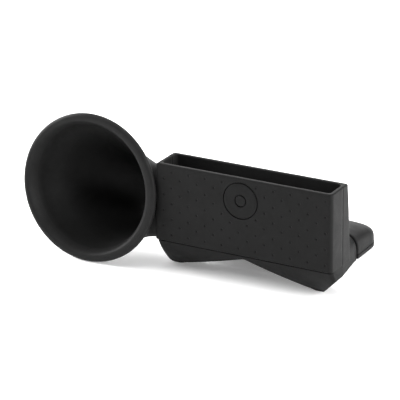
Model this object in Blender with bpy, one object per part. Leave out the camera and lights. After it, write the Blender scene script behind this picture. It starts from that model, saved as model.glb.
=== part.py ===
"""Passive horn dock for a phone: a pocket that holds the phone upright and a
side horn that gathers the sound. All moulded in soft rubber.

World frame: metres, +Z up, the dimpled front panel faces -Y and the floor is
z = 0. Dimensions below are millimetres and are laid out with x = 0 in the
middle of the dock and y = 0 on its front panel. At the end everything moves
together so that the origin is on the floor under the middle of its box.
"""
import math

import bmesh
import bpy
from mathutils import Vector

MM = 0.001
GAP = 0.3                    # clearance kept between neighbouring pieces
REACH = 45.0                 # cutters run this far, well past the dock's sides

# Dock body
DOCK_TOP = 37.7
CREASE = 11.0                # height where the front panel ends and the base starts
HALF_WIDTH_TOP = 31.7
HALF_WIDTH_BASE = 32.0
FRONT_RADIUS = 1.4
REAR_RADIUS = 0.6
PARTING = 8.3                # plane where the front and rear mouldings meet
# rear surface of the dock: (height, y)
REAR_SURFACE = [
    (0.0, 14.3), (9.0, 14.2), (19.0, 13.9), (25.5, 13.4), (31.0, 13.0),
    (34.0, 12.6), (DOCK_TOP, 12.2),
]
# rounding of the rim: (drop below the top, inset)
RIM_ROUND = [(0.5, 0.0), (0.15, 0.12), (0.0, 0.4)]

# Phone pocket
POCKET_HALF = 30.2
POCKET_FRONT = 1.6
POCKET_REAR = 10.8
CHANNEL_FRONT = 2.2          # the pocket narrows below the phone's seat
CHANNEL_REAR = 10.2
PORT_Y = (3.2, 10.0)
PORT_Z = (12.6, 27.2)

# Sound tray and phone ledge inside the pocket
TRAY_TOP = 17.4
TRAY_WALL = 1.0
TRAY_FLOOR = 1.2
TRAY_RIGHT = 27.0
LEDGE_BOTTOM = TRAY_TOP + GAP
LEDGE_TOP = 19.3
WINDOW_X = (14.0, 26.0)
WINDOW_Y = (3.9, 8.5)

# Base
FACET_STEP = 0.3             # the base facet starts this far behind the panel
FACET_SLOPE = 0.8            # run back per unit of drop
FACET_BULGE = 0.8            # how far it swells forward of a flat facet
NOTCH_TOP = (0.0, 9.4)
NOTCH_LEFT = -27.6
NOTCH_RIGHT = 22.4
FOOT_RIGHT = 25.3            # outer edge of the right foot's flat
CHAMFER_TOP = 7.0            # height of the right corner's chamfer at the parting plane
CHAMFER_REAR = 9.3           # and at its far end
CHAMFER_END = 20.0           # distance behind the panel where it gets that high
FOOT_LEFT = -29.4            # outer edge of the left foot's flat
FOOT_REAR = 12.4             # the flats end here and the underside climbs
RISE_TO = (25.0, 4.0)        # towards this point: (y, height)

# Rear foot: a tongue in two lengths with a groove between them
TAIL_START = 14.65
TAIL_SEAM = 39.5
TAIL_END = 60.0
TAIL_CORNER = 9.5
TAIL_SIDE_POWER = 0.33       # section shape: fullness of the sides and of the crown
TAIL_CROWN_POWER = 0.52
SOLE_THICK = 1.6
SOLE_PROUD = 0.15
# front length: (distance behind the panel, half width, underside, crown)
TONGUE = [
    (TAIL_START, 25.0, 5.0, 12.8), (22.0, 24.8, 2.6, 11.9), (29.5, 24.2, 0.0, 10.8),
    (TAIL_SEAM, 22.9, 0.0, 9.4),
]
# rear length: half width, and (distance behind the panel, crown)
CAP_HALF = 23.2
CAP_MIDDLE = 45.0            # one station between the seam and the rounded end
CAP_TOP = [(TAIL_SEAM, 9.4), (46.0, 8.8), (50.0, 8.3), (54.0, 7.3), (57.0, 6.0),
           (58.8, 5.1), (TAIL_END, 4.3)]

# Badge
BADGE_AT = (-0.7, 29.9)
BADGE_RADIUS = 6.0
BADGE_RECESS = 6.3
BADGE_DEPTH = 1.0
BADGE_THICK = 0.7
BUTTON_RADIUS = 1.8
BUTTON_HOLE = 2.1

# Horn: sections fan round the neck's front edge, from facing the dock (0
# degrees) to facing the front (90 degrees)
NECK_X = -HALF_WIDTH_BASE - GAP
NECK_EDGE = (NECK_X, 1.6)    # front edge of the neck
BELL_EDGE = (-33.05, 1.4)    # right edge of the bell just behind the lip
BELL_TILT = 5.9              # the mouth looks up by this angle, degrees
# bend angle: half width, half height, centre height
HORN_OUTSIDE = [
    (0, 5.5, 11.6, 20.6), (15, 7.6, 11.8, 20.3), (30, 10.4, 12.3, 20.1),
    (45, 13.8, 13.8, 20.6), (60, 17.3, 16.5, 21.7), (75, 20.5, 19.8, 23.2),
    (90, 23.1, 23.1, 24.9),
]
HORN_INSIDE = [
    (0, 3.4, 7.0, 20.2), (15, 5.4, 8.7, 20.2), (30, 8.2, 10.2, 20.1),
    (45, 11.6, 11.8, 20.6), (60, 15.1, 14.4, 21.7), (75, 18.3, 17.7, 23.3),
    (90, 20.9, 20.9, 24.9),
]
HORN_NODES = ("horn_elbow", "horn_flare", "horn_bowl", "horn_bell")
HORN_ENDS = (0.0, 45.0, 67.5, 78.75, 90.0)       # bend angles between those nodes
HORN_STEP = 5.625
HORN_SEGMENTS = 48
BELL_FRONT = [(0.85, 23.35), (0.85, 20.95)]
# lip outside: (distance forward of the last bend station, radius)
LIP_OUTSIDE = [(1.15, 23.5), (1.8, 24.0), (2.3, 24.8), (2.7, 25.25),
               (3.3, 25.3), (3.9, 25.0), (4.2, 24.3)]
# lip inside, which opens wider on its left: (distance, radius at the right, at the left)
LIP_INSIDE = [(4.1, 23.0, 23.9), (3.8, 21.9, 23.2), (3.3, 21.4, 22.75), (2.4, 21.1, 22.1),
              (1.15, 20.95, 21.0)]


# ---------------------------------------------------------------- helpers
def clear_scene():
    for obj in list(bpy.data.objects):
        bpy.data.objects.remove(obj, do_unlink=True)
    for mesh in list(bpy.data.meshes):
        bpy.data.meshes.remove(mesh)
    for coll in list(bpy.data.collections):
        bpy.data.collections.remove(coll)


def new_collection(name):
    coll = bpy.data.collections.new(name)
    bpy.context.scene.collection.children.link(coll)
    return coll


def mesh_object(name, verts, faces, coll):
    """A mesh object from millimetre vertices, normals turned outward."""
    mesh = bpy.data.meshes.new(name)
    mesh.from_pydata([Vector(v) * MM for v in verts], [], faces)
    bm = bmesh.new()
    bm.from_mesh(mesh)
    bmesh.ops.remove_doubles(bm, verts=bm.verts, dist=1e-6)
    bmesh.ops.recalc_face_normals(bm, faces=bm.faces)
    bm.to_mesh(mesh)
    bm.free()
    obj = bpy.data.objects.new(name, mesh)
    coll.objects.link(obj)
    return obj


def prism(name, profile, low, high, axis, coll):
    """A polygon extruded along x, y or z between two planes."""
    place = {
        "x": lambda p, t: (t, p[0], p[1]),
        "y": lambda p, t: (p[0], t, p[1]),
        "z": lambda p, t: (p[0], p[1], t),
    }[axis]
    count = len(profile)
    verts = [place(p, low) for p in profile] + [place(p, high) for p in profile]
    faces = [list(range(count)), list(range(2 * count - 1, count - 1, -1))]
    for i in range(count):
        j = (i + 1) % count
        faces.append([i, count + i, count + j, j])
    return mesh_object(name, verts, faces, coll)


def block(name, x, y, z, coll):
    corners = [(x[0], y[0]), (x[1], y[0]), (x[1], y[1]), (x[0], y[1])]
    return prism(name, corners, z[0], z[1], "z", coll)


def loft(name, rings, coll):
    """A solid through rings of equal point count, closed at both ends."""
    count = len(rings[0])
    verts = [v for ring in rings for v in ring]
    faces = [list(range(count))]
    for r in range(len(rings) - 1):
        for i in range(count):
            j = (i + 1) % count
            a = r * count
            b = a + count
            faces.append([a + i, b + i, b + j, a + j])
    last = (len(rings) - 1) * count
    faces.append(list(range(last + count - 1, last - 1, -1)))
    return mesh_object(name, verts, faces, coll)


def tube(name, rings, coll):
    """A closed tube wall: rings run along the outside and back inside."""
    count = len(rings[0])
    total = len(rings)
    verts = [v for ring in rings for v in ring]
    faces = []
    for r in range(total):
        a = r * count
        b = ((r + 1) % total) * count
        for i in range(count):
            j = (i + 1) % count
            faces.append([a + i, b + i, b + j, a + j])
    return mesh_object(name, verts, faces, coll)


def combine(obj, tool, operation):
    mod = obj.modifiers.new("cut", "BOOLEAN")
    mod.operation = operation
    mod.solver = "EXACT"
    mod.object = tool
    deps = bpy.context.evaluated_depsgraph_get()
    mesh = bpy.data.meshes.new_from_object(obj.evaluated_get(deps))
    obj.modifiers.clear()
    obj.data = mesh
    bm = bmesh.new()
    bm.from_mesh(mesh)
    bmesh.ops.remove_doubles(bm, verts=bm.verts, dist=2e-6)
    bmesh.ops.dissolve_degenerate(bm, edges=bm.edges, dist=1e-6)
    bm.to_mesh(mesh)
    bm.free()


def cut(obj, *tools):
    for tool in tools:
        combine(obj, tool, "DIFFERENCE")


def keep(obj, *tools):
    for tool in tools:
        combine(obj, tool, "INTERSECT")


def disc(name, centre, radius, y, coll, segments=40):
    """A flat cylinder whose axis runs along y."""
    profile = []
    for i in range(segments):
        t = 2 * math.pi * i / segments
        profile.append((centre[0] + radius * math.cos(t), centre[1] + radius * math.sin(t)))
    return prism(name, profile, y[0], y[1], "y", coll)


def rubber(name, grey, roughness):
    mat = bpy.data.materials.new(name)
    mat.use_nodes = True
    shader = mat.node_tree.nodes["Principled BSDF"]
    shader.inputs["Base Color"].default_value = (grey, grey, grey, 1.0)
    shader.inputs["Roughness"].default_value = roughness
    shader.inputs["Metallic"].default_value = 0.0
    return mat


def finish(obj, grey, roughness=0.6):
    obj.data.materials.clear()
    obj.data.materials.append(rubber("rubber_" + obj.name, grey, roughness))
    for poly in obj.data.polygons:
        poly.material_index = 0


def interpolate(table, at):
    if at <= table[0][0]:
        return table[0][1]
    for (a, va), (b, vb) in zip(table, table[1:]):
        if at <= b:
            return va + (vb - va) * (at - a) / (b - a)
    return table[-1][1]


# ---------------------------------------------------------------- dock
def rounded_ring(x, y, z, front_radius, rear_radius, steps=6):
    """Plan outline of the dock at one height, corners rounded."""
    ring = []
    corners = [
        (x[0] + front_radius, y[0] + front_radius, front_radius, 180),
        (x[1] - front_radius, y[0] + front_radius, front_radius, 270),
        (x[1] - rear_radius, y[1] - rear_radius, rear_radius, 0),
        (x[0] + rear_radius, y[1] - rear_radius, rear_radius, 90),
    ]
    for cx, cy, radius, start in corners:
        for i in range(steps + 1):
            t = math.radians(start + 90 * i / steps)
            ring.append((cx + radius * math.cos(t), cy + radius * math.sin(t), z))
    return ring


def half_width(z):
    table = [(CREASE, HALF_WIDTH_BASE), (DOCK_TOP, HALF_WIDTH_TOP)]
    return interpolate(table, z)


def shell_body(coll):
    """The part of the dock above the crease, still solid."""
    rings = []
    levels = [(CREASE + GAP / 2, 0.0)]
    levels += [(z, 0.0) for z, _ in REAR_SURFACE if CREASE + 0.5 < z < DOCK_TOP]
    levels += [(DOCK_TOP - drop, inset) for drop, inset in RIM_ROUND]
    for z, inset in levels:
        w = half_width(z) - inset
        back = interpolate(REAR_SURFACE, z) - inset
        rings.append(rounded_ring((-w, w), (inset, back), z, FRONT_RADIUS, REAR_RADIUS))
    return loft("shell_body", rings, coll)


def chamfer_rings():
    """What the right-hand chamfer takes away, from front to rear."""
    rings = []
    stations = ((-REACH, CHAMFER_TOP), (PARTING, CHAMFER_TOP),
                (CHAMFER_END, CHAMFER_REAR), (REACH, CHAMFER_REAR))
    for y, top in stations:
        foot = FOOT_RIGHT - (top - CHAMFER_TOP)
        slope = top / (HALF_WIDTH_BASE - foot)
        outer = (REACH, y, slope * (REACH - foot))
        rings.append([(foot, y, 0), (foot, y, -REACH), (REACH, y, -REACH), outer])
    return rings


def left_corner(steps=8):
    """What the left-hand rounded corner takes away, seen from the front."""
    radius = FOOT_LEFT + HALF_WIDTH_BASE
    profile = [(-REACH, -REACH), (FOOT_LEFT, -REACH)]
    for i in range(steps + 1):
        t = math.radians(270 - 90 * i / steps)
        profile.append((FOOT_LEFT + radius * math.cos(t), radius + radius * math.sin(t)))
    profile.append((-REACH, radius))
    return profile


def base_body(coll):
    """The part of the dock below the crease with its notch and feet."""
    rings = []
    top = CREASE - GAP / 2
    levels = [0.0, 3.0, 6.0] + [z for z, _ in REAR_SURFACE if 6.0 < z < top] + [top]
    for z in levels:
        w = half_width(z)
        swell = FACET_BULGE * math.sin(math.pi * z / CREASE)
        front = FACET_STEP + FACET_SLOPE * (CREASE - z) - swell
        back = interpolate(REAR_SURFACE, z)
        rings.append(rounded_ring((-w, w), (front, back), z, FRONT_RADIUS, REAR_RADIUS))
    body = loft("base_body", rings, coll)
    notch = [(NOTCH_LEFT, 0), NOTCH_TOP, (NOTCH_RIGHT, 0),
             (NOTCH_RIGHT, -REACH), (NOTCH_LEFT, -REACH)]
    rise = [(FOOT_REAR, 0), (FOOT_REAR, -REACH), (RISE_TO[0], -REACH), RISE_TO]
    cut(body, prism("notch_cut", notch, -REACH, REACH, "y", coll))
    cut(body, loft("chamfer_cut", chamfer_rings(), coll))
    cut(body, prism("corner_cut", left_corner(), -REACH, REACH, "y", coll))
    cut(body, prism("rise_cut", rise, -REACH, REACH, "x", coll))
    return body


def copy_of(obj, name, coll):
    new = obj.copy()
    new.data = obj.data.copy()
    new.name = name
    coll.objects.link(new)
    return new


def build_dock(parts, tools):
    length = (-POCKET_HALF, POCKET_HALF)
    everywhere = (-REACH, REACH)
    pocket = block("pocket_cut", length, (POCKET_FRONT, POCKET_REAR), (LEDGE_TOP, REACH), tools)
    channel = block("channel_cut", length, (CHANNEL_FRONT, CHANNEL_REAR),
                    (0, LEDGE_TOP + GAP), tools)
    port = block("port_cut", (-REACH, 1 - POCKET_HALF), PORT_Y, PORT_Z, tools)
    front_side = block("front_side", everywhere, (-REACH, PARTING - GAP / 2), everywhere, tools)
    rear_side = block("rear_side", everywhere, (PARTING + GAP / 2, REACH), everywhere, tools)
    recess = disc("badge_cut", BADGE_AT, BADGE_RECESS, (-REACH, BADGE_DEPTH), tools)

    shell = shell_body(tools)
    cut(shell, pocket, channel, port)
    front = copy_of(shell, "front_shell", parts)
    keep(front, front_side)
    cut(front, recess)
    finish(front, 0.030)
    rear = copy_of(shell, "rear_shell", parts)
    keep(rear, rear_side)
    finish(rear, 0.032)

    base = base_body(tools)
    base_front = copy_of(base, "base_front", parts)
    keep(base_front, front_side)
    finish(base_front, 0.028)
    base_rear = copy_of(base, "base_rear", parts)
    keep(base_rear, rear_side)
    finish(base_rear, 0.029)


def build_inside(parts, tools):
    x = (-POCKET_HALF + GAP, POCKET_HALF - GAP)
    y = (CHANNEL_FRONT + GAP, CHANNEL_REAR - GAP)
    bottom = CREASE + GAP / 2
    tray = block("sound_tray", x, y, (bottom, TRAY_TOP), parts)
    cut(tray, block("tray_cut", (-REACH, TRAY_RIGHT), (y[0] + TRAY_WALL, y[1] - TRAY_WALL),
                    (bottom + TRAY_FLOOR, REACH), tools))
    finish(tray, 0.026)
    ledge = block("phone_ledge", x, y, (LEDGE_BOTTOM, LEDGE_TOP), parts)
    for sign in (-1, 1):
        span = sorted((sign * WINDOW_X[0], sign * WINDOW_X[1]))
        cut(ledge, block("window_cut", span, WINDOW_Y, (0, REACH), tools))
    finish(ledge, 0.027)


def build_badge(parts, tools):
    ring = disc("badge_ring", BADGE_AT, BADGE_RADIUS, (0.0, BADGE_THICK), parts)
    cut(ring, disc("button_cut", BADGE_AT, BUTTON_HOLE, (-REACH, REACH), tools, 24))
    finish(ring, 0.033)
    button = disc("badge_button", BADGE_AT, BUTTON_RADIUS, (0.0, BADGE_THICK), parts, 24)
    finish(button, 0.034)


# ---------------------------------------------------------------- rear foot
def tongue_ring(y, half, bottom, top, steps=20):
    """Section across the rear foot: flat underneath, domed on top."""
    ring = []
    for i in range(steps + 1):
        t = math.pi * (1 - i / steps)
        c, s = math.cos(t), math.sin(t)
        x = half * math.copysign(abs(c) ** TAIL_SIDE_POWER, c)
        ring.append((x, y, bottom + (top - bottom) * abs(s) ** TAIL_CROWN_POWER))
    return ring


def cap_half(y):
    """Half width of the rear length at a distance behind the panel."""
    reach = y - (TAIL_END - TAIL_CORNER)
    if reach <= 0:
        return CAP_HALF
    f = min(1.0, reach / TAIL_CORNER)
    return CAP_HALF - TAIL_CORNER + TAIL_CORNER * math.sqrt(1 - f * f)


def cap_stations():
    bend = TAIL_END - TAIL_CORNER
    rounded = [bend + TAIL_CORNER * math.sin(math.radians(a)) for a in range(0, 91, 10)]
    return [TAIL_SEAM + GAP / 2, CAP_MIDDLE] + rounded


def build_rear_foot(parts):
    rings = []
    for y, half, bottom, top in TONGUE:
        rings.append(tongue_ring(min(y, TAIL_SEAM - GAP / 2), half, bottom, top))
    finish(loft("rear_foot", rings, parts), 0.032)

    rings = []
    for y in cap_stations():
        rings.append(tongue_ring(y, cap_half(y), SOLE_THICK + GAP, interpolate(CAP_TOP, y)))
    finish(loft("foot_cap", rings, parts), 0.032)

    right = [(cap_half(y) + SOLE_PROUD, y) for y in cap_stations()]
    left = [(-x, y) for x, y in reversed(right)]
    sole = prism("rear_foot_sole", right + left, 0.0, SOLE_THICK, "z", parts)
    finish(sole, 0.031)


# ---------------------------------------------------------------- horn
def blend(a, b, t):
    return a + (b - a) * t


def smooth(table, at):
    """Catmull-Rom values of a table whose first column is the position."""
    last = len(table) - 1
    k = 0
    while k < last - 1 and at > table[k + 1][0]:
        k += 1
    f = (at - table[k][0]) / (table[k + 1][0] - table[k][0])
    p = [table[max(0, k - 1)], table[k], table[k + 1], table[min(last, k + 2)]]
    values = []
    for c in range(1, len(table[0])):
        a, b, d, e = (row[c] for row in p)
        values.append(0.5 * (2 * b + (d - a) * f + (2 * a - 5 * b + 4 * d - e) * f ** 2
                             + (3 * b - a - 3 * d + e) * f ** 3))
    return values


def horn_section(angle, inside, shift=0.0):
    """One closed ring of the horn at a bend angle between 0 and 90 degrees."""
    u = angle / 90.0
    t = math.radians(angle)
    across = Vector((-math.sin(t), math.cos(t), 0.0))
    ahead = Vector((-math.cos(t), -math.sin(t), 0.0))
    tilt = math.radians(BELL_TILT) * u
    up = Vector((0, 0, 1)) * math.cos(tilt) - ahead * math.sin(tilt)
    normal = ahead * math.cos(tilt) + Vector((0, 0, 1)) * math.sin(tilt)
    edge = Vector((blend(NECK_EDGE[0], BELL_EDGE[0], u), blend(NECK_EDGE[1], BELL_EDGE[1], u), 0))
    wide, tall, height = smooth(HORN_OUTSIDE, angle)
    centre = edge + across * wide
    if inside:
        wide, tall, height = smooth(HORN_INSIDE, angle)
    centre.z = height
    centre = centre + normal * shift
    power = blend(2.3, 2.0, min(1.0, u * 1.6))
    ring = []
    for i in range(HORN_SEGMENTS):
        a = 2 * math.pi * i / HORN_SEGMENTS
        c, s = math.cos(a), math.sin(a)
        x = wide * math.copysign(abs(c) ** (2 / power), c)
        y = tall * math.copysign(abs(s) ** (2 / power), s)
        ring.append(centre + across * x + up * y)
    return ring


def lip_ring(forward, radius, left=None):
    """One ring of the mouth; left is its radius on the left if that differs."""
    tilt = math.radians(BELL_TILT)
    normal = Vector((0, -math.cos(tilt), math.sin(tilt)))
    up = Vector((0, math.sin(tilt), math.cos(tilt)))
    across = Vector((-1, 0, 0))
    _, half, _, height = HORN_OUTSIDE[-1]
    centre = Vector((BELL_EDGE[0] - half, BELL_EDGE[1], height)) + normal * forward
    ring = []
    for i in range(HORN_SEGMENTS):
        a = 2 * math.pi * i / HORN_SEGMENTS
        r = blend(radius, left or radius, (1 + math.cos(a)) / 2)
        ring.append(centre + across * r * math.cos(a) + up * r * math.sin(a))
    return ring


def bend_rings(first, last, inside):
    """Rings between two bend angles, half a gap short of each inner split."""
    rings = []
    for i in range(round((last - first) / HORN_STEP) + 1):
        angle = first + HORN_STEP * i
        shift = 0.0
        if angle in HORN_ENDS[1:-1]:
            shift = GAP / 2 if angle == first else -GAP / 2
        rings.append(horn_section(angle, inside, shift))
    return rings


def build_horn(parts):
    for name, first, last in zip(HORN_NODES, HORN_ENDS, HORN_ENDS[1:]):
        front = [lip_ring(d, r) for d, r in BELL_FRONT] if last == HORN_ENDS[-1] else []
        inner = reversed(bend_rings(first, last, True))
        rings = bend_rings(first, last, False) + front + list(inner)
        finish(tube(name, rings, parts), 0.030)
    lip = [lip_ring(*station) for station in LIP_OUTSIDE + LIP_INSIDE]
    finish(tube("bell_lip", lip, parts), 0.031)


def centre_on_floor(objects):
    """Move every mesh so the box of them all is centred on x = 0, y = 0."""
    points = [v.co for obj in objects for v in obj.data.vertices]
    x = (min(p.x for p in points) + max(p.x for p in points)) / 2
    y = (min(p.y for p in points) + max(p.y for p in points)) / 2
    z = min(p.z for p in points)
    for obj in objects:
        for v in obj.data.vertices:
            v.co -= Vector((x, y, z))


def main():
    clear_scene()
    parts = new_collection("horn_dock")
    tools = new_collection("cutters")
    build_dock(parts, tools)
    build_inside(parts, tools)
    build_badge(parts, tools)
    build_rear_foot(parts)
    build_horn(parts)
    centre_on_floor(list(parts.objects))
    for obj in tools.objects:
        obj.hide_render = True
        obj.display_type = "WIRE"


main()
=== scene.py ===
"""Looks of a passive phone horn dock: one matt charcoal silicone moulding on a
pale floor.

Lengths below are millimetres in the dock's own frame: x = 0 in the middle of
the dock, y = 0 on its dimpled front panel, z = 0 on the floor. place() turns
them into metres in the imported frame.
"""
import bisect
import math

import bmesh
import bpy
from mathutils import Matrix, Vector
from mathutils.geometry import delaunay_2d_cdt


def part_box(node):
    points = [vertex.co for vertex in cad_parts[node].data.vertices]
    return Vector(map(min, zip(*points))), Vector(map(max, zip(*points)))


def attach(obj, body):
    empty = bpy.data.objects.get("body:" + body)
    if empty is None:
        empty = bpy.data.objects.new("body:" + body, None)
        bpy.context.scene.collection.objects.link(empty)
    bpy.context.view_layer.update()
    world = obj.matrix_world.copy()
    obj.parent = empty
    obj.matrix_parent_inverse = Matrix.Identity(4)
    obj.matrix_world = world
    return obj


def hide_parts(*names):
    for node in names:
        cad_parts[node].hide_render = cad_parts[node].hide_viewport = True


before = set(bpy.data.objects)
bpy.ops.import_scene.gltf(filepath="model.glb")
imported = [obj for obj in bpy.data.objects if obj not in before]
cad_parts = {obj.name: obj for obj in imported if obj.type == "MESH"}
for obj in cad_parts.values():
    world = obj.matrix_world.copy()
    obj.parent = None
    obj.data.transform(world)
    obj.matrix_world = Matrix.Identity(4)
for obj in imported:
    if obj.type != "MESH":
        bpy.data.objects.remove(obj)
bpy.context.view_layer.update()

MM = 0.001
WELD = 2e-6                  # metres
SHARP_ANGLE = 34             # degrees
dock_low, dock_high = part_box("front_shell")
ORIGIN = Vector(((dock_low.x + dock_high.x) / 2, dock_low.y, 0.0))

# Dock
DOCK_TOP = dock_high.z / MM
CREASE = 11.0
HALF_TOP = 31.7
HALF_BASE = 32.0
FRONT_CORNER = 1.4           # front upright edge at the right end
LEFT_CORNER = 0.45           # and at the left end, next to the horn
REAR_CORNER = 0.6
CORNER_STEPS = 12
PARTING = 8.3
SEAM = 0.07                  # half the width of the mould line
SEAM_RADIUS = 0.12           # rounding of the walls along it
SEAM_STEPS = 3
SEAM_FACE = 0.3              # how far into the wall's thickness each outline runs on it
RUN_SPLITS = (1, 5, 64, 5, 1)                    # points along the runs of an outline
RIM_OUTER = 0.5              # rounding of the rim
RIM_INNER = 0.45
RIM_STEPS = 6
# rear surface of the dock: (height, distance behind the panel)
REAR_SURFACE = [
    (0.0, 14.3), (9.0, 14.2), (19.0, 13.9), (25.5, 13.4), (31.0, 13.0),
    (34.0, 12.6), (37.7, 12.2),
]
POCKET_HALF = 30.2
POCKET_FRONT = 1.6
POCKET_REAR = 10.8
CHANNEL_FRONT = 2.2
CHANNEL_REAR = 10.2
SEAT = 19.3
POCKET_CORNER = 1.2
SEAT_ROUND = 0.25            # fillet above the seat
PORT_X = (-36.0, -29.4)
PORT_Y = (3.2, 10.0)
PORT_Z = (12.6, 27.2)
PORT_CORNER = 1.6
SOFT_EDGE = 0.25             # on the two inner nodes that stay as they are

# Panel
PANEL_LOW = 11.35
PANEL_ROWS = 26
SAME_POINT = 1e-5
# the panel's rounded lower edge: (height above the crease, inset)
PANEL_EDGE = ((0.0, 0.60), (0.0, 0.22), (0.03, 0.12), (0.12, 0.03))
DIMPLE_RADIUS = 0.52
DIMPLE_DEPTH = 0.27
DIMPLE_PITCH = (3.1, 5.45)   # between columns, and between the dimples of one column
DIMPLE_FIRST = -29.1
DIMPLE_COLUMNS = 20
DIMPLE_ODD = 32.8            # height of the top dimple in the first, third... column
DIMPLE_EVEN = 35.3
DIMPLE_MARGIN = 1.2          # kept clear at the panel's upper and lower edges
DIMPLE_CIRCLES = (0.22, 0.42, 0.6, 0.76, 0.9, 1.0, 1.16)     # circles of points, of its radius
DIMPLE_COUNTS = (10, 12, 14, 16, 18, 20, 22)
DIMPLE_PHASE = 0.3           # radians from one circle to the next
POINT_CLEAR = 0.22           # no grid point nearer a dimple's edge than this
BADGE_AT = (-0.7, 29.9)
BADGE_RADIUS = 6.0
BADGE_RECESS = 6.3
BADGE_DEPTH = 0.75
RECESS_LIP = 0.12            # rounding of the recess's edge
RECESS_WALL = 0.08           # its wall falls over this distance
RECESS_CLEAR = 0.75          # no grid point nearer the recess than this
# circles of points round the recess's edge: (offset, count)
RECESS_CIRCLES = (
    (-4.3, 16), (-2.3, 32), (-0.9, 56), (-0.35, 96), (-0.08, 144), (-0.04, 144), (0.0, 144),
    (0.03, 144), (0.06, 144), (0.10, 144), (0.12, 144), (0.35, 110), (0.65, 80),
)
BADGE_THICK = 0.7
BADGE_CLEAR = 7.4            # no dimple nearer the badge's centre than this
BADGE_ROUND = 0.22
BUTTON_RADIUS = 1.8
BUTTON_ROUND = 0.2
# the button's crown: (radius, depth behind the panel)
BUTTON_TOP = [(0.0, 0.05), (0.8, 0.04), (1.3, 0.01)]
BUTTON_HOLE = 2.1
HOLE_ROUND = 0.14

# Base
FACET_STEP = 0.3
FACET_SLOPE = 0.8
FACET_BULGE = 0.8            # how far the facet swells forward of a flat one
CREASE_GAP = 0.34            # groove under the panel
CREASE_DEPTH = 0.55
CREASE_ROUND = 0.12
TURN_ROUND = 0.4             # rounding where the facet turns under
TURN_MARGIN = 0.35           # and its least distance from the mould line
SEAM_ROUND = 0.10
FACE_STEPS = 12
CORNER_STATIONS = 10
STATION_GAP = 0.02           # no two sections nearer than this
# underside seen from the front: (x, height, rounding)
UNDERSIDE = [
    (-32.0, 11.0, 0.0), (-32.0, 0.0, 2.6), (-27.6, 0.0, 0.8), (0.0, 9.4, 3.0),
    (22.4, 0.0, 0.8), (25.3, 0.0, 0.9), (32.0, 7.0, 0.5), (32.0, 11.0, 0.0),
]
CHAMFER_TOP = 7.0
CHAMFER_REAR = 9.3
CHAMFER_END = 20.0
CHAMFER_X = 25.3
FOOT_REAR = 12.4
RISE = 4.0 / 12.6            # slope of the underside behind the feet

# Rear foot: a tongue in two lengths with a groove between them
TAIL_START = 14.65
TAIL_SEAM = 39.5
TAIL_END = 60.0
TAIL_CORNER = 9.5
TAIL_GAP = 0.15              # half the groove's width
TAIL_EDGE = 0.42             # rounding on both sides of the groove
TAIL_SIDE_POWER = 0.33       # section shape: fullness of the sides and of the crown
TAIL_CROWN_POWER = 0.52
TONGUE_STEPS = 96
SOLE_THICK = 1.6
SOLE_PROUD = 0.15
SOLE_GAP = 0.12              # between the sole and the length it lies under
SOLE_CORNER = 0.4
SOLE_END = 0.5               # its outline starts and ends this far in from its front corners
SOLE_SPLITS = (1, 20, 26, 20, 1)
SOLE_EDGE = 0.35
# the sole's rounded edge: (height, how far out)
SOLE_PROFILE = (
    (0.0, 0.0), (0.06, 0.2), (0.2, 0.32), (0.4, 0.35), (1.2, 0.35), (1.38, 0.32), (1.52, 0.2),
    (1.6, 0.0),
)
# along the tongue: (distance behind the panel, half width, underside, crown)
TONGUE = [
    (14.65, 25.0, 5.0, 12.8), (22.0, 24.8, 2.6, 11.9), (29.0, 24.2, 0.35, 10.9),
    (32.0, 23.8, 0.0, 10.4), (39.5, 22.9, 0.0, 9.4),
]
CAP_HALF = 23.2
CAP_TOP = [
    (39.5, 9.4), (46.0, 8.8), (50.0, 8.3), (54.0, 7.3), (57.0, 6.0), (58.8, 5.1), (60.0, 4.3),
]

# Horn
NECK_EDGE = (-32.3, 1.6)
BELL_EDGE = (-33.05, 1.4)
BELL_TILT = 5.9
# bend angle: half width, half height, centre height
HORN_OUTSIDE = [
    (0, 5.5, 11.6, 20.6), (15, 7.6, 11.8, 20.3), (30, 10.4, 12.3, 20.1),
    (45, 13.8, 13.8, 20.6), (60, 17.3, 16.5, 21.7), (75, 20.5, 19.8, 23.2),
    (90, 23.1, 23.1, 24.9),
]
HORN_INSIDE = [
    (0, 3.4, 7.0, 20.2), (15, 5.4, 8.7, 20.2), (30, 8.2, 10.2, 20.1),
    (45, 11.6, 11.8, 20.6), (60, 15.1, 14.4, 21.7), (75, 18.3, 17.7, 23.3),
    (90, 20.9, 20.9, 24.9),
]
HORN_NODES = ("horn_elbow", "horn_flare", "horn_bowl", "horn_bell")
HORN_ENDS = (0.0, 45.0, 67.5, 78.75, 90.0)       # bend angles between those nodes
HORN_STEP = 1.125
HORN_SEGMENTS = 144
NECK_POWER = 2.3             # the neck's section is squarer than an ellipse
ROUND_BY = 1.6               # and turns into one over 1 / 1.6 of the bend
# the neck spreads where it meets the dock: (growth, distance back)
NECK_SPREAD = ((0.55, 0.42), (0.32, 0.32), (0.12, 0.16))
BELL_FRONT = 1.0             # the lip starts this far forward of the last bend station
# lip outside: (distance forward, radius)
LIP_OUTSIDE = [(1.0, 23.45), (1.8, 24.0), (2.3, 24.8), (2.7, 25.25),
               (3.3, 25.3), (3.9, 25.0), (4.25, 24.4)]
# lip inside, which opens wider on its left: (distance, radius at the right, at the left)
LIP_INSIDE = [(4.3, 23.0, 24.0), (4.1, 22.1, 23.4), (3.5, 21.5, 22.85), (2.4, 21.1, 22.1),
              (1.0, 20.95, 21.4)]

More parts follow.
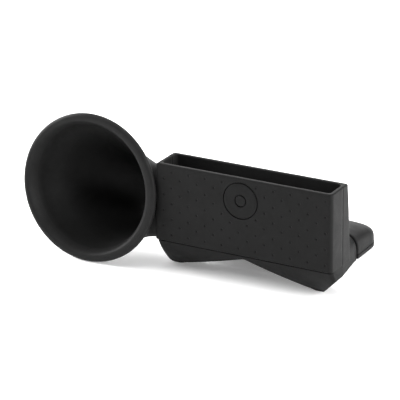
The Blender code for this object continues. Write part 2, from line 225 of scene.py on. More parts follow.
# Silicone: noise cells to the metre, bump depths in metres
MOTTLE = 140.0
STREAKS = 620.0
SPECKS = 2300.0
WEAR = 260.0
GRAIN = 5200.0
WAVES = 210.0
SPECK_SHARE = 0.15
GRAIN_STRENGTH = 0.22
GRAIN_DEPTH = 0.00006
WAVE_STRENGTH = 0.35
WAVE_DEPTH = 0.00020
INDEX = 1.17
BORE_SHADE_FADE = (-0.0200, -0.0100)       # painted shade in the bore: depth in metres where the tone is full, and where the painted shade is darkest
# share of the tone left where the bore's painted shade is darkest
BORE_SHADE_TONE = 0.06
# tone per part of the one silicone moulding: the parts are set darker or lighter than each other
# as painted light and shade, darkest on the base's front facet, lightest on the bell lip and
# rear shell
LOOKS_WITH_PAINTED_LIGHT = {
    "front_shell": dict(tone=0.0082),
    "rear_shell": dict(tone=0.0115),
    "base_front": dict(tone=0.0048),
    "base_rear": dict(tone=0.0090),
    "badge_ring": dict(tone=0.0073, rough=0.46),
    "badge_button": dict(tone=0.0075, rough=0.44),
    "rear_foot": dict(tone=0.0090),
    "foot_cap": dict(tone=0.0090),
    "rear_foot_sole": dict(tone=0.0095),
    "horn_elbow": dict(tone=0.0074),
    "horn_flare": dict(tone=0.0074),
    "horn_bowl": dict(tone=0.0086),
    "horn_bell": dict(tone=0.0098),
    "bell_lip": dict(tone=0.0125, rough=0.47),
    "phone_ledge": dict(tone=0.0066),
    "sound_tray": dict(tone=0.0065),
}

# Studio
FLOOR_HALF = 3.0             # metres
FLOOR_CELLS = 12
FLOOR_TONES = (0.90, 0.93)
FLOOR_NOISE = 6.0
FLOOR_GLOW = 0.20
BACK_LEVEL = 0.45
FRONT_LEVEL = 0.0
WORLD_FADE = (-0.35, 0.45)
# name, place, size in metres, watts
SOFTBOXES = [
    ("top_box", (0, 20, 900), (1.2, 1.2), 11.0),
    ("back_box", (-400, 900, 350), (1.2, 0.6), 6.0),
    ("right_box", (900, 100, 350), (1.2, 0.6), 20.0),
    ("left_box", (-900, 0, 350), (1.2, 0.6), 29.0),
]
SOFTBOX_AIM = (0, 0, 20)
CAMERA_AT = (329.76, -639.05, 306.05)
CAMERA_AZIMUTH = 28.373
CAMERA_ELEVATION = 20.970
CAMERA_ROLL = -0.078
LENS = 216.0
SENSOR = 36.0
CLIP = (0.01, 20.0)          # metres


# ---------------------------------------------------------------- curves
def place(point):
    return ORIGIN + Vector(point) * MM


def lerp(a, b, t):
    return a + (b - a) * t


def interpolate(table, at):
    if at <= table[0][0]:
        return table[0][1]
    for (a, va), (b, vb) in zip(table, table[1:]):
        if at <= b and b > a:
            return lerp(va, vb, (at - a) / (b - a))
    return table[-1][1]


def soften(points, rounds):
    """Corner cutting: a smooth curve that hugs the given polyline."""
    for _ in range(rounds):
        cut = [points[0]]
        for (ax, ay), (bx, by) in zip(points, points[1:]):
            cut.append((lerp(ax, bx, 0.25), lerp(ay, by, 0.25)))
            cut.append((lerp(ax, bx, 0.75), lerp(ay, by, 0.75)))
        points = cut + [points[-1]]
    return points


def arc(corner, before, after, radius, steps):
    """Points of the rounding that replaces one corner of a polyline."""
    corner = Vector(corner)
    a = (Vector(before) - corner).normalized()
    b = (Vector(after) - corner).normalized()
    half = a.angle(b) / 2
    if half > math.radians(89.5) or radius <= 0:
        return [tuple(corner)] * (steps + 1)
    reach = radius / math.tan(half)
    centre = corner + (a + b).normalized() * (radius / math.sin(half))
    start = corner + a * reach - centre
    end = corner + b * reach - centre
    first = math.atan2(start.y, start.x)
    turn = (math.atan2(end.y, end.x) - first + math.pi) % (2 * math.pi) - math.pi
    out = []
    for i in range(steps + 1):
        t = first + turn * i / steps
        out.append((centre.x + radius * math.cos(t), centre.y + radius * math.sin(t)))
    return out


def outline(corners, splits):
    """An open polyline. corners: (x, y, radius, steps); splits: points added
    to each straight run."""
    rounded = []
    for i, (x, y, radius, steps) in enumerate(corners):
        if radius == 0:
            rounded.append([(x, y)])
        else:
            rounded.append(arc((x, y), corners[i - 1][:2], corners[i + 1][:2], radius, steps))
    path = list(rounded[0])
    for points, count in zip(rounded[1:], splits):
        (ax, ay), (bx, by) = path[-1], points[0]
        for k in range(1, count):
            path.append((lerp(ax, bx, k / count), lerp(ay, by, k / count)))
        path += points
    return path


# ---------------------------------------------------------------- meshes
def skin(rings, wrap=True, loop=False, skip=None):
    """Vertices and quads through rings of equal point count."""
    count = len(rings[0])
    verts = [point for ring in rings for point in ring]
    faces = []
    for r in range(len(rings) if loop else len(rings) - 1):
        a = r * count
        b = ((r + 1) % len(rings)) * count
        for i in range(count if wrap else count - 1):
            if skip and skip(r, i):
                continue
            j = (i + 1) % count
            faces.append((a + i, b + i, b + j, a + j))
    return verts, faces


def solid(name, verts, faces):
    """One closed mesh object: welded, open ends filled, normals outward."""
    mesh = bpy.data.meshes.new(name)
    mesh.from_pydata([place(v) for v in verts], [], faces)
    bm = bmesh.new()
    bm.from_mesh(mesh)
    bmesh.ops.remove_doubles(bm, verts=bm.verts, dist=WELD)
    open_edges = [e for e in bm.edges if e.is_boundary]
    if open_edges:
        bmesh.ops.holes_fill(bm, edges=open_edges, sides=0)
    loose = [v for v in bm.verts if not v.link_faces]
    bmesh.ops.delete(bm, geom=loose, context="VERTS")
    bmesh.ops.recalc_face_normals(bm, faces=bm.faces)
    bm.to_mesh(mesh)
    bm.free()
    obj = bpy.data.objects.new(name, mesh)
    bpy.context.scene.collection.objects.link(obj)
    return obj


def cut(obj, tool):
    """Take the tool's volume out of the object and remove the tool."""
    mod = obj.modifiers.new("cut", "BOOLEAN")
    mod.operation = "DIFFERENCE"
    mod.solver = "MANIFOLD"
    mod.object = tool
    deps = bpy.context.evaluated_depsgraph_get()
    mesh = bpy.data.meshes.new_from_object(obj.evaluated_get(deps))
    obj.modifiers.clear()
    obj.data = mesh
    bpy.data.objects.remove(tool, do_unlink=True)


def settle(obj, node, material):
    """Shade the piece, give it its material, hang it under the root body and hide the CAD node
    it stands for.
    """
    obj.data.shade_smooth()
    obj.data.set_sharp_from_angle(angle=math.radians(SHARP_ANGLE))
    obj.data.materials.clear()
    obj.data.materials.append(material)
    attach(obj, "root")
    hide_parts(node)


# ---------------------------------------------------------------- materials
def new_node(tree, kind, **values):
    node = tree.nodes.new(kind)
    for key, value in values.items():
        setattr(node, key, value)
    return node


def noise(tree, coords, scale, detail, roughness=0.5):
    """Noise with that many cells to the metre."""
    node = new_node(tree, "ShaderNodeTexNoise")
    node.inputs["Scale"].default_value = scale
    node.inputs["Detail"].default_value = detail
    node.inputs["Roughness"].default_value = roughness
    tree.links.new(coords, node.inputs["Vector"])
    return node.outputs["Fac"]


def ranged(tree, value, low, high, to_low, to_high):
    """The value's range low to high mapped to another, clamped."""
    node = new_node(tree, "ShaderNodeMapRange")
    node.inputs["From Min"].default_value = low
    node.inputs["From Max"].default_value = high
    node.inputs["To Min"].default_value = to_low
    node.inputs["To Max"].default_value = to_high
    tree.links.new(value, node.inputs["Value"])
    return node.outputs["Result"]


def mixed(tree, factor, first, second):
    """Colour mix; each of the two is a colour or an output."""
    node = new_node(tree, "ShaderNodeMix", data_type="RGBA")
    tree.links.new(factor, node.inputs["Factor"])
    for key, value in (("A", first), ("B", second)):
        socket = [s for s in node.inputs if s.name == key and s.type == "RGBA"][0]
        if isinstance(value, tuple):
            socket.default_value = value
        else:
            tree.links.new(value, socket)
    return [s for s in node.outputs if s.type == "RGBA"][0]


def grey(value, warm=0.0):
    return (value * (1 + warm), value, value * (1 - warm), 1.0)


def silicone(name, tone, rough=0.50, bore=False):
    """Matt charcoal silicone: faint mottling, fine grain and a little dust.
    In the bore it darkens towards the dock: painted shade standing in for the shadow deep in the
    horn."""
    mat = bpy.data.materials.new(name)
    mat.use_nodes = True
    tree = mat.node_tree
    shader = tree.nodes["Principled BSDF"]
    coords = new_node(tree, "ShaderNodeTexCoord").outputs["Object"]

    mottle = noise(tree, coords, MOTTLE, 4.0, 0.6)
    streak = noise(tree, coords, STREAKS, 3.0, 0.55)
    cloud = ranged(tree, mottle, 0.3, 0.7, 0.0, 1.0)
    base = mixed(tree, cloud, grey(tone * 0.86, 0.012), grey(tone * 1.14, -0.004))
    fine = ranged(tree, streak, 0.35, 0.65, 0.0, 0.35)
    base = mixed(tree, fine, base, grey(tone * 1.25))
    specks = noise(tree, coords, SPECKS, 1.0, 0.4)
    speck = ranged(tree, specks, 0.70, 0.80, 0.0, SPECK_SHARE)
    base = mixed(tree, speck, base, grey(0.05, 0.02))
    # painted shade: the base colour darkens towards the dock inside the horn's bore
    if bore:
        split = new_node(tree, "ShaderNodeSeparateXYZ")
        tree.links.new(coords, split.inputs["Vector"])
        depth = ranged(tree, split.outputs["Y"], *BORE_SHADE_FADE, 0.0, 1.0)
        base = mixed(tree, depth, base, grey(tone * BORE_SHADE_TONE))
    tree.links.new(base, shader.inputs["Base Color"])

    worn = noise(tree, coords, WEAR, 5.0, 0.6)
    tree.links.new(ranged(tree, worn, 0.3, 0.7, rough - 0.04, rough + 0.05),
                   shader.inputs["Roughness"])
    shader.inputs["IOR"].default_value = INDEX
    shader.inputs["Specular IOR Level"].default_value = 0.5

    fine_grain = noise(tree, coords, GRAIN, 2.0, 0.6)
    bump = new_node(tree, "ShaderNodeBump")
    bump.inputs["Strength"].default_value = GRAIN_STRENGTH
    bump.inputs["Distance"].default_value = GRAIN_DEPTH
    tree.links.new(fine_grain, bump.inputs["Height"])
    wave = noise(tree, coords, WAVES, 2.0, 0.5)
    swell = new_node(tree, "ShaderNodeBump")
    swell.inputs["Strength"].default_value = WAVE_STRENGTH
    swell.inputs["Distance"].default_value = WAVE_DEPTH
    tree.links.new(wave, swell.inputs["Height"])
    tree.links.new(bump.outputs["Normal"], swell.inputs["Normal"])
    tree.links.new(swell.outputs["Normal"], shader.inputs["Normal"])
    return mat


# ---------------------------------------------------------------- dock
REAR = soften(REAR_SURFACE, 3)


def half_width(z):
    return interpolate([(CREASE, HALF_BASE), (DOCK_TOP, HALF_TOP)], z)


def half_ring(w, near, far, radius, z, first=None, face=SEAM_FACE):
    """Outline of one half of the dock at one height. near is the mould line and
    far the panel or the rear wall. The first of the two far corners can have its
    own radius. face is negative in the pocket, whose walls lie outside its outline."""
    way = 1 if far < near else -1
    corners = [
        (-way * (w - face), near, 0, 0), (-way * w, near, SEAM_RADIUS, SEAM_STEPS),
        (-way * w, far, first or radius, CORNER_STEPS), (way * w, far, radius, CORNER_STEPS),
        (way * w, near, SEAM_RADIUS, SEAM_STEPS), (way * (w - face), near, 0, 0),
    ]
    return [(x, y, z) for x, y in outline(corners, RUN_SPLITS)]


def rounding(radius, steps):
    """(rise, inset) pairs of a quarter circle from upright to level."""
    out = []
    for i in range(steps + 1):
        t = math.pi / 2 * i / steps
        out.append((radius * math.sin(t), radius * (1 - math.cos(t))))
    return out


def pocket_rings(near, far, narrow, way):
    """Inside of one half, from the rim down to the crease."""
    def ring(w, y, z):
        return half_ring(w, near, y, POCKET_CORNER, z, face=-SEAM_FACE)

    rings = []
    for rise, inset in reversed(rounding(RIM_INNER, RIM_STEPS)):
        rings.append(ring(POCKET_HALF + inset, far - way * inset, DOCK_TOP - RIM_INNER + rise))
    steps = [(30.0, far), (SEAT + SEAT_ROUND, far), (SEAT + 0.07, far + way * 0.07),
             (SEAT, far + way * SEAT_ROUND), (SEAT, narrow - way * 0.2),
             (SEAT - 0.06, narrow - way * 0.06), (SEAT - 0.2, narrow),
             (15.0, narrow), (CREASE, narrow)]
    return rings + [ring(POCKET_HALF, y, z) for z, y in steps]


def dimple_centres():
    centres = []
    for column in range(DIMPLE_COLUMNS):
        x = DIMPLE_FIRST + DIMPLE_PITCH[0] * column
        z = DIMPLE_EVEN if column % 2 else DIMPLE_ODD
        while z > PANEL_LOW + DIMPLE_MARGIN:
            if math.dist((x, z), BADGE_AT) > BADGE_CLEAR and z < DOCK_TOP - DIMPLE_MARGIN:
                centres.append((x, z))
            z -= DIMPLE_PITCH[1]
    return centres


def dimple_depth(r):
    """Bowl with a soft lip."""
    t = min(1.0, r / DIMPLE_RADIUS)
    return DIMPLE_DEPTH * (1 - t * t) ** 2 * (1 + 0.6 * t * t)


def recess_depth(r):
    """Rounded lip, then a steep wall down to the badge's seat."""
    edge = BADGE_RECESS - r
    if edge <= -RECESS_LIP:
        return 0.0
    if edge <= 0.0:
        return RECESS_LIP - math.sqrt(max(0.0, RECESS_LIP ** 2 - (edge + RECESS_LIP) ** 2))
    return lerp(RECESS_LIP, BADGE_DEPTH, min(1.0, edge / RECESS_WALL))


def circle(centre, radius, count, phase=0.0):
    return [(centre[0] + radius * math.cos(phase + 2 * math.pi * i / count),
             centre[1] + radius * math.sin(phase + 2 * math.pi * i / count))
            for i in range(count)]


def panel_mesh(low, high, levels):
    """Triangulated outside of the front half between two rings, dimples and
    badge recess pressed in. Works in (distance along the ring, height)."""
    first, last = 1 + SEAM_STEPS, len(low) - 2 - SEAM_STEPS
    run = [0.0]
    for a, b in zip(low[first:], low[first + 1:last + 1]):
        run.append(run[-1] + math.dist(a[:2], b[:2]))
    flat = RUN_SPLITS[1] + CORNER_STEPS              # where the flat front begins
    zero = run[flat] - low[first + flat][0]          # run at x = 0

    dimples = [(x + zero, z) for x, z in dimple_centres()]
    badge = (BADGE_AT[0] + zero, BADGE_AT[1])

    def clear(s, z):
        if math.dist((s, z), badge) < BADGE_RECESS + RECESS_CLEAR:
            return False
        return all(math.dist((s, z), centre) > DIMPLE_RADIUS + POINT_CLEAR for centre in dimples)

    points = [(s, levels[0]) for s in run]
    points += [(run[-1], z) for z in levels[1:]]
    points += [(s, levels[-1]) for s in reversed(run[:-1])]
    points += [(0.0, z) for z in reversed(levels[1:-1])]
    edges = [(i, (i + 1) % len(points)) for i in range(len(points))]
    for s in run[1:-1]:
        points += [(s, z) for z in levels[1:-1] if clear(s, z)]
    for centre in dimples:
        points.append(centre)
        for k, (share, count) in enumerate(zip(DIMPLE_CIRCLES, DIMPLE_COUNTS)):
            points += circle(centre, DIMPLE_RADIUS * share, count, DIMPLE_PHASE * k)
    points.append(badge)
    for offset, count in RECESS_CIRCLES:
        points += circle(badge, BADGE_RECESS + offset, count)

    flat_points, _, tris, _, _, _ = delaunay_2d_cdt(
        [Vector(p) for p in points], edges, [], 0, SAME_POINT)

    normals = []
    for i in range(first, last + 1):
        ax, ay, _ = low[i - 1]
        bx, by, _ = low[i + 1]
        length = math.dist((ax, ay), (bx, by))
        normals.append(((by - ay) / length, (ax - bx) / length))

    verts = []
    for s, z in flat_points:
        i = max(0, min(len(run) - 2, bisect.bisect_left(run, s) - 1))
        f = (s - run[i]) / (run[i + 1] - run[i])
        v = (z - levels[0]) / (levels[-1] - levels[0])
        depth = recess_depth(math.dist((s, z), badge))
        for centre in dimples:
            if abs(s - centre[0]) < DIMPLE_RADIUS:
                depth = max(depth, dimple_depth(math.dist((s, z), centre)))
        point = []
        for axis in (0, 1):
            below = lerp(low[first + i][axis], low[first + i + 1][axis], f)
            above = lerp(high[first + i][axis], high[first + i + 1][axis], f)
            inward = lerp(normals[i][axis], normals[i + 1][axis], f)
            point.append(lerp(below, above, v) - inward * depth)
        verts.append((point[0], point[1], z))
    return verts, [tuple(t) for t in tris]


def front_shell():
    near = PARTING - SEAM

    def ring(z, inset=0.0, narrower=0.0):
        return half_ring(half_width(z) - narrower, near, inset, FRONT_CORNER, z, LEFT_CORNER)

    rings = [ring(CREASE + rise, inset) for rise, inset in PANEL_EDGE]
    levels = [lerp(PANEL_LOW, DOCK_TOP - RIM_OUTER, i / PANEL_ROWS)
              for i in range(PANEL_ROWS + 1)]
    start = len(rings)
    rings += [ring(z) for z in levels]
    end = len(rings) - 1
    rings += [ring(levels[-1] + rise, inset, inset)
              for rise, inset in rounding(RIM_OUTER, RIM_STEPS)[1:]]
    rings += pocket_rings(near, POCKET_FRONT, CHANNEL_FRONT, 1)

    first, last = 1 + SEAM_STEPS, len(rings[0]) - 2 - SEAM_STEPS
    verts, faces = skin(rings, wrap=False, loop=True,
                        skip=lambda r, i: start <= r < end and first <= i < last)
    more, tris = panel_mesh(rings[start], rings[end], levels)
    faces += [tuple(len(verts) + k for k in tri) for tri in tris]
    return solid("front_shell_skin", verts + more, faces)


def rear_shell():
    near = PARTING + SEAM

    def ring(z, inset=0.0):
        far = interpolate(REAR, z) - inset
        return half_ring(half_width(z) - inset, near, far, REAR_CORNER, z)

    heights = [CREASE] + [z for z, _ in REAR if CREASE + 0.1 < z < DOCK_TOP - RIM_OUTER - 0.2]
    heights.append(DOCK_TOP - RIM_OUTER)
    rings = [ring(z) for z in heights]
    rings += [ring(heights[-1] + rise, inset)
              for rise, inset in rounding(RIM_OUTER, RIM_STEPS)[1:]]
    rings += pocket_rings(near, POCKET_REAR, CHANNEL_REAR, -1)
    verts, faces = skin(rings, wrap=False, loop=True)
    return solid("rear_shell_skin", verts, faces)


def port_cutter():
    """Rounded opening through the left end wall into the horn."""
    (y0, y1), (z0, z1) = PORT_Y, PORT_Z
    corners = [(y0, z0), (y1, z0), (y1, z1), (y0, z1)]
    profile = []
    for i, corner in enumerate(corners):
        profile += arc(corner, corners[i - 1], corners[(i + 1) % 4], PORT_CORNER, 6)
    rings = [[(x, y, z) for y, z in profile] for x in PORT_X]
    return solid("port_cutter", *skin(rings))


# ---------------------------------------------------------------- base
def underside():
    """The bottom edge seen from the front, rounded: (x, height) pairs."""
    corners = [(x, z, radius, 8) for x, z, radius in UNDERSIDE]
    return outline(corners, (1, 2, 24, 20, 3, 8, 1))


BOTTOM = underside()


def bottom(x, y):
    """Height of the base's underside."""
    z = interpolate(BOTTOM[1:-1], x)
    if x > 0 and y > PARTING:
        grow = min(1.0, (y - PARTING) / (CHAMFER_END - PARTING)) * (CHAMFER_REAR - CHAMFER_TOP)
        foot = CHAMFER_X - grow
        z = max(z, (CHAMFER_TOP + grow) * (x - foot) / (HALF_BASE - foot))
    return max(z, RISE * (y - FOOT_REAR))


def corner_pull(x, radius):
    """How far the plan's rounded corner draws the front or rear face in."""
    over = abs(x) - (HALF_BASE - radius)
    if over <= 0:
        return 0.0
    return radius - math.sqrt(max(0.0, radius * radius - min(over, radius) ** 2))


def base_stations():
    """Places along the base where its section is taken."""
    xs = [x for x, _ in BOTTOM]
    for side in (-1, 1):
        for radius in (FRONT_CORNER, REAR_CORNER):
            for i in range(CORNER_STATIONS + 1):
                turn = math.pi / 2 * i / CORNER_STATIONS
                xs.append(side * (HALF_BASE - radius + radius * math.sin(turn)))
    xs = sorted(x for x in xs if abs(x) <= HALF_BASE)
    kept = [xs[0]]
    for x in xs[1:]:
        if x - kept[-1] > STATION_GAP:
            kept.append(x)
    kept[-1] = HALF_BASE
    return kept


def facet(z, x):
    """Distance of the facet behind the panel at a height."""
    fall = CREASE - z
    swell = FACET_BULGE * math.sin(math.pi * max(0.0, fall) / CREASE)
    return FACET_STEP + FACET_SLOPE * fall - swell + corner_pull(x, FRONT_CORNER)


def facet_height(y, x):
    """Height where the facet is that far behind the panel, by bisection."""
    low, high = -2.0, CREASE
    for _ in range(30):
        middle = (low + high) / 2
        if facet(middle, x) > y:
            low = middle
        else:
            high = middle
    return high


def base_front():
    near = PARTING - SEAM
    rings = []
    for x in base_stations():
        z = bottom(x, 0.0)
        turn = min(facet(z, x), near - TURN_MARGIN)
        z1 = max(z, facet_height(near - TURN_MARGIN, x)) if turn < facet(z, x) else z
        z2 = max(z, facet_height(near, x))
        top = CREASE - CREASE_GAP
        inner = facet(CREASE, x) + CREASE_DEPTH
        face = [(facet(h, x), h)
                for h in (lerp(top, z1, k / FACE_STEPS) for k in range(1, FACE_STEPS))]
        lead = (facet(top, x), top)
        section = [(near, CREASE), (inner, CREASE), (inner, top)]
        section += arc(lead, (inner, top), face[0], CREASE_ROUND, 4) + face
        section += arc((turn, z1), face[-1], (near, z2), TURN_ROUND, 5)
        section += arc((near, z2), (turn, z1), (near, CREASE), SEAM_ROUND, 3)
        rings.append([(x, y, z) for y, z in section])
    verts, faces = skin(rings)
    return solid("base_front_skin", verts, faces)


def base_rear():
    near = PARTING + SEAM
    heights = [z for z, _ in REAR if 0.4 < z < CREASE] + [CREASE]
    rings = []
    for x in base_stations():
        pull = corner_pull(x, REAR_CORNER)
        low = bottom(x, near)
        z1 = max(low, facet_height(near, x))
        turn = max(facet(low, x), near + TURN_MARGIN)
        back = CHAMFER_END
        for _ in range(6):                           # settles on the rear lower edge
            z3 = bottom(x, back)
            back = interpolate(REAR, z3) - pull
        section = [(near, CREASE)]
        section += arc((near, z1), (near, CREASE), (turn, low), SEAM_ROUND, 3)
        section += [(turn, bottom(x, turn))]
        section += [(y, bottom(x, y))
                    for y in (lerp(turn, back, k / FACE_STEPS) for k in range(1, FACE_STEPS))]
        section += [(back, z3)]
        section += [(interpolate(REAR, max(z, z3)) - pull, max(z, z3)) for z in heights]
        rings.append([(x, y, z) for y, z in section])
    verts, faces = skin(rings)
    return solid("base_rear_skin", verts, faces)


# ---------------------------------------------------------------- badge
def lathe(name, profile, segments=96):
    """Closed (radius, y) profile turned round the badge's axis."""
    rings = []
    for radius, y in profile:
        rings.append([(x, y, z) for x, z in circle(BADGE_AT, radius, segments)])
    verts, faces = skin(rings, loop=profile[0][0] > 0)
    return solid(name, verts, faces)


def badge_ring():
    flat_in, flat_out = (3.0, 0.0), (5.0, 0.0)
    hole_back, rim_back = (BUTTON_HOLE, BADGE_THICK), (BADGE_RADIUS, BADGE_THICK)
    profile = [hole_back]
    profile += arc((BUTTON_HOLE, 0.0), hole_back, flat_in, HOLE_ROUND, 4)
    profile += [flat_in, flat_out]
    profile += arc((BADGE_RADIUS, 0.0), flat_out, rim_back, BADGE_ROUND, 5)
    profile += [rim_back]
    return lathe("badge_ring_skin", profile)


def badge_button():
    rim_back = (BUTTON_RADIUS, BADGE_THICK)
    profile = BUTTON_TOP + arc((BUTTON_RADIUS, 0.0), (0.0, 0.0), rim_back, BUTTON_ROUND, 5)
    profile += [rim_back, (0.0, BADGE_THICK)]
    return lathe("badge_button_skin", profile, 64)


# ---------------------------------------------------------------- rear foot
def tongue_ring(y, half, low, top, inset=0.0):
    """Section across the rear foot: flat underneath, domed on top."""
    half, top = half - inset, top - inset
    ring = []
    for i in range(TONGUE_STEPS + 1):
        t = math.pi * (1 - i / TONGUE_STEPS)
        c, s = math.cos(t), math.sin(t)
        x = half * math.copysign(abs(c) ** TAIL_SIDE_POWER, c)
        ring.append((x, y, low + (top - low) * abs(s) ** TAIL_CROWN_POWER))
    return ring


def edge_steps():
    """(distance from the end, inset) pairs that round off an end."""
    out = []
    for i in range(6):
        t = math.pi / 2 * i / 5
        out.append((TAIL_EDGE * (1 - math.sin(t)), TAIL_EDGE * (1 - math.cos(t))))
    return out


def rear_foot():
    tables = [soften([(row[0], row[c]) for row in TONGUE], 3) for c in (1, 2, 3)]
    end = TAIL_SEAM - TAIL_GAP
    stations = [(lerp(TAIL_START, end - TAIL_EDGE, i / 40), 0.0) for i in range(40)]
    stations += [(end - back, inset) for back, inset in edge_steps()]
    rings = [tongue_ring(y, *(interpolate(table, y) for table in tables), inset)
             for y, inset in stations]
    return solid("rear_foot_skin", *skin(rings))


def cap_half(y):
    """Half width of the rear length, whose far corners are rounded."""
    reach = y - (TAIL_END - TAIL_CORNER)
    if reach <= 0:
        return CAP_HALF
    f = min(1.0, reach / TAIL_CORNER)
    return CAP_HALF - TAIL_CORNER + TAIL_CORNER * math.sqrt(max(0.0, 1 - f * f))


def foot_cap():
    crown = soften(CAP_TOP, 3)
    start = TAIL_SEAM + TAIL_GAP
    bend = TAIL_END - TAIL_CORNER
    stations = [(start + back, inset) for back, inset in reversed(edge_steps())]
    stations += [(lerp(start + TAIL_EDGE, bend, i / 20), 0.0) for i in range(1, 20)]
    stations += [(bend + TAIL_CORNER * math.sin(math.pi / 2 * i / 30), 0.0) for i in range(31)]
    rings = [tongue_ring(y, cap_half(y), SOLE_THICK + SOLE_GAP, interpolate(crown, y), inset)
             for y, inset in stations]
    return solid("foot_cap_skin", *skin(rings))


def rear_foot_sole():
    def ring(inset, z):
        half = CAP_HALF + SOLE_PROUD - inset
        start, end = TAIL_SEAM + TAIL_GAP + inset, TAIL_END - inset
        corners = [
            (-half + SOLE_END, start, 0, 0), (-half, start, SOLE_CORNER, 3),
            (-half, end, TAIL_CORNER, 18), (half, end, TAIL_CORNER, 18),
            (half, start, SOLE_CORNER, 3), (half - SOLE_END, start, 0, 0),
        ]
        return [(x, y, z) for x, y in outline(corners, SOLE_SPLITS)]

    rings = [ring(SOLE_EDGE - out, z) for z, out in SOLE_PROFILE]
    return solid("rear_foot_sole_skin", *skin(rings))


# ---------------------------------------------------------------- horn
def smooth(table, at):
    """Catmull-Rom values of a table whose first column is the position."""
    last = len(table) - 1
    k = 0
    while k < last - 1 and at > table[k + 1][0]:
        k += 1
    f = (at - table[k][0]) / (table[k + 1][0] - table[k][0])
    p = [table[max(0, k - 1)], table[k], table[k + 1], table[min(last, k + 2)]]
    values = []
    for c in range(1, len(table[0])):
        a, b, d, e = (row[c] for row in p)
        values.append(0.5 * (2 * b + (d - a) * f + (2 * a - 5 * b + 4 * d - e) * f ** 2
                             + (3 * b - a - 3 * d + e) * f ** 3))
    return values


def horn_section(angle, inside, grow=0.0, back=0.0):
    """One ring of the horn; grow widens it and back moves it to the dock."""
    u = angle / 90.0
    t = math.radians(angle)
    across = Vector((-math.sin(t), math.cos(t), 0.0))
    ahead = Vector((-math.cos(t), -math.sin(t), 0.0))
    tilt = math.radians(BELL_TILT) * u
    up = Vector((0, 0, 1)) * math.cos(tilt) - ahead * math.sin(tilt)
    edge = Vector((lerp(NECK_EDGE[0], BELL_EDGE[0], u), lerp(NECK_EDGE[1], BELL_EDGE[1], u), 0))
    wide, tall, height = smooth(HORN_OUTSIDE, angle)
    centre = edge + across * wide - ahead * back
    if inside:
        wide, tall, height = smooth(HORN_INSIDE, angle)
    centre.z = height
    power = lerp(NECK_POWER, 2.0, min(1.0, u * ROUND_BY))
    ring = []
    for i in range(HORN_SEGMENTS):
        a = 2 * math.pi * i / HORN_SEGMENTS
        c, s = math.cos(a), math.sin(a)
        x = (wide + grow) * math.copysign(abs(c) ** (2 / power), c)
        y = (tall + grow) * math.copysign(abs(s) ** (2 / power), s)
        ring.append(tuple(centre + across * x + up * y))
    return ring


def lip_ring(forward, radius, left=None):
    """A circle in front of the last bend station; left widens its left side."""
    tilt = math.radians(BELL_TILT)
    normal = Vector((0, -math.cos(tilt), math.sin(tilt)))
    up = Vector((0, math.sin(tilt), math.cos(tilt)))
    across = Vector((-1, 0, 0))
    _, half, _, height = HORN_OUTSIDE[-1]
    centre = Vector((BELL_EDGE[0] - half, BELL_EDGE[1], height)) + normal * forward
    ring = []
    for i in range(HORN_SEGMENTS):
        a = 2 * math.pi * i / HORN_SEGMENTS
        r = lerp(radius, left or radius, (1 + math.cos(a)) / 2)
        ring.append(tuple(centre + across * r * math.cos(a) + up * r * math.sin(a)))
    return ring


def bend_rings(first, last, inside):
    steps = round((last - first) / HORN_STEP)
    return [horn_section(lerp(first, last, i / steps), inside) for i in range(steps + 1)]


def horn_piece(name, first, last):
    """A length of the horn between two bend angles, and which faces are its bore."""
    root, front = [], []
    if first == HORN_ENDS[0]:
        root = [horn_section(0, False, grow, back) for grow, back in NECK_SPREAD]
    if last == HORN_ENDS[-1]:
        front = [lip_ring(BELL_FRONT, LIP_OUTSIDE[0][1]), lip_ring(*LIP_INSIDE[-1])]
    inner = list(reversed(bend_rings(first, last, True)))
    rings = root + bend_rings(first, last, False) + front + inner
    bore = slice((len(rings) - len(inner)) * HORN_SEGMENTS, (len(rings) - 1) * HORN_SEGMENTS)
    return solid(name, *skin(rings, loop=True)), bore


def bell_lip():
    right = soften(LIP_OUTSIDE + [(d, r) for d, r, _ in LIP_INSIDE], 3)
    left = soften(LIP_OUTSIDE + [(d, r) for d, _, r in LIP_INSIDE], 3)
    rings = [lip_ring(d, a, b) for (d, a), (_, b) in zip(right, left)]
    return solid("bell_lip_skin", *skin(rings, loop=True))


# ---------------------------------------------------------------- build
def build():
    # one silicone per part, each tone carrying painted light and shade
    finish = {node: silicone("silicone_" + node, **look) for node, look in LOOKS_WITH_PAINTED_LIGHT.items()}

    for node, make in (("front_shell", front_shell), ("rear_shell", rear_shell)):
        shell = make()
        cut(shell, port_cutter())
        settle(shell, node, finish[node])
    for node, make in (("base_front", base_front), ("base_rear", base_rear),
                       ("badge_ring", badge_ring), ("badge_button", badge_button),
                       ("rear_foot", rear_foot), ("foot_cap", foot_cap),
                       ("rear_foot_sole", rear_foot_sole), ("bell_lip", bell_lip)):
        settle(make(), node, finish[node])
    for node, first, last in zip(HORN_NODES, HORN_ENDS, HORN_ENDS[1:]):
        piece, bore = horn_piece(node + "_skin", first, last)
        settle(piece, node, finish[node])
        # the bore's faces get a second silicone whose colour carries painted shade towards the
        # dock
        piece.data.materials.append(silicone("painted_shade_bore_" + node, bore=True, **LOOKS_WITH_PAINTED_LIGHT[node]))
        for face in piece.data.polygons[bore]:
            face.material_index = 1

    for node in ("phone_ledge", "sound_tray"):
        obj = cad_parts[node]
        obj.data.materials.clear()
        obj.data.materials.append(finish[node])
        bevel = obj.modifiers.new("soft_edges", "BEVEL")
        bevel.width = SOFT_EDGE * MM
        bevel.segments = 3
        bevel.limit_method = "ANGLE"


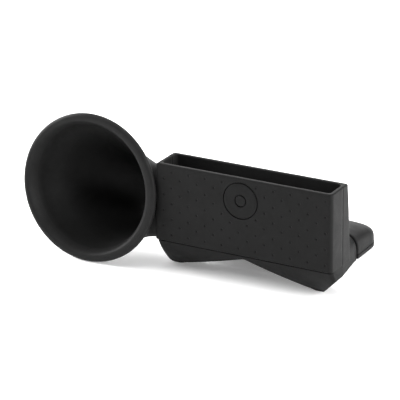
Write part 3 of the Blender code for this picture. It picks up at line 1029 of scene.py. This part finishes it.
# ---------------------------------------------------------------- stage
def floor():
    steps = [lerp(-FLOOR_HALF, FLOOR_HALF, i / FLOOR_CELLS) for i in range(FLOOR_CELLS + 1)]
    rings = [[(x, y, 0.0) for x in steps] for y in steps]
    verts, faces = skin(rings, wrap=False)
    mesh = bpy.data.meshes.new("floor")
    mesh.from_pydata(verts, [], faces)
    obj = bpy.data.objects.new("floor", mesh)
    bpy.context.scene.collection.objects.link(obj)
    mat = bpy.data.materials.new("pale_floor")
    mat.use_nodes = True
    tree = mat.node_tree
    shader = tree.nodes["Principled BSDF"]
    coords = new_node(tree, "ShaderNodeTexCoord").outputs["Object"]
    cloud = ranged(tree, noise(tree, coords, FLOOR_NOISE, 2.0), 0.3, 0.7, 0.0, 1.0)
    colour = mixed(tree, cloud, *(grey(tone) for tone in FLOOR_TONES))
    tree.links.new(colour, shader.inputs["Base Color"])
    shader.inputs["Roughness"].default_value = 0.9
    shader.inputs["Specular IOR Level"].default_value = 0.2
    shader.inputs["Emission Color"].default_value = grey(1.0)
    shader.inputs["Emission Strength"].default_value = FLOOR_GLOW
    obj.data.materials.append(mat)


def softbox(name, at, size, power):
    data = bpy.data.lights.new(name, "AREA")
    data.shape = "RECTANGLE"
    data.size, data.size_y = size
    data.energy = power
    obj = bpy.data.objects.new(name, data)
    obj.location = place(at)
    obj.rotation_euler = (place(SOFTBOX_AIM) - obj.location).to_track_quat("-Z", "Y").to_euler()
    bpy.context.scene.collection.objects.link(obj)


def studio():
    """Broad softboxes to the left, right, back and overhead, and a dim world
    that is brighter behind the object than in front of it."""
    world = bpy.data.worlds.new("studio")
    bpy.context.scene.world = world
    world.use_nodes = True
    tree = world.node_tree
    direction = new_node(tree, "ShaderNodeTexCoord").outputs["Generated"]
    along = new_node(tree, "ShaderNodeVectorMath", operation="DOT_PRODUCT")
    az = math.radians(CAMERA_AZIMUTH)
    along.inputs[1].default_value = (math.sin(az), -math.cos(az), 0.0)
    tree.links.new(direction, along.inputs[0])
    level = ranged(tree, along.outputs["Value"], *WORLD_FADE, BACK_LEVEL, FRONT_LEVEL)
    tree.links.new(level, tree.nodes["Background"].inputs["Strength"])
    for box in SOFTBOXES:
        softbox(*box)


def camera():
    az, el, roll = (math.radians(v) for v in (CAMERA_AZIMUTH, CAMERA_ELEVATION, CAMERA_ROLL))
    back = Vector((math.sin(az) * math.cos(el), -math.cos(az) * math.cos(el), math.sin(el)))
    right = Vector((math.cos(az), math.sin(az), 0.0))
    up = back.cross(right)
    c, s = math.cos(roll), math.sin(roll)
    right, up = right * c + up * s, up * c - right * s
    turn = Matrix((right, up, back)).transposed()
    data = bpy.data.cameras.new("camera")
    data.lens = LENS
    data.sensor_width = SENSOR
    data.clip_start, data.clip_end = CLIP
    obj = bpy.data.objects.new("camera", data)
    obj.matrix_world = Matrix.Translation(place(CAMERA_AT)) @ turn.to_4x4()
    bpy.context.scene.collection.objects.link(obj)
    bpy.context.scene.camera = obj
    bpy.context.scene.view_settings.view_transform = "Standard"
    bpy.context.scene.view_settings.look = "None"


build()
floor()
studio()
camera()
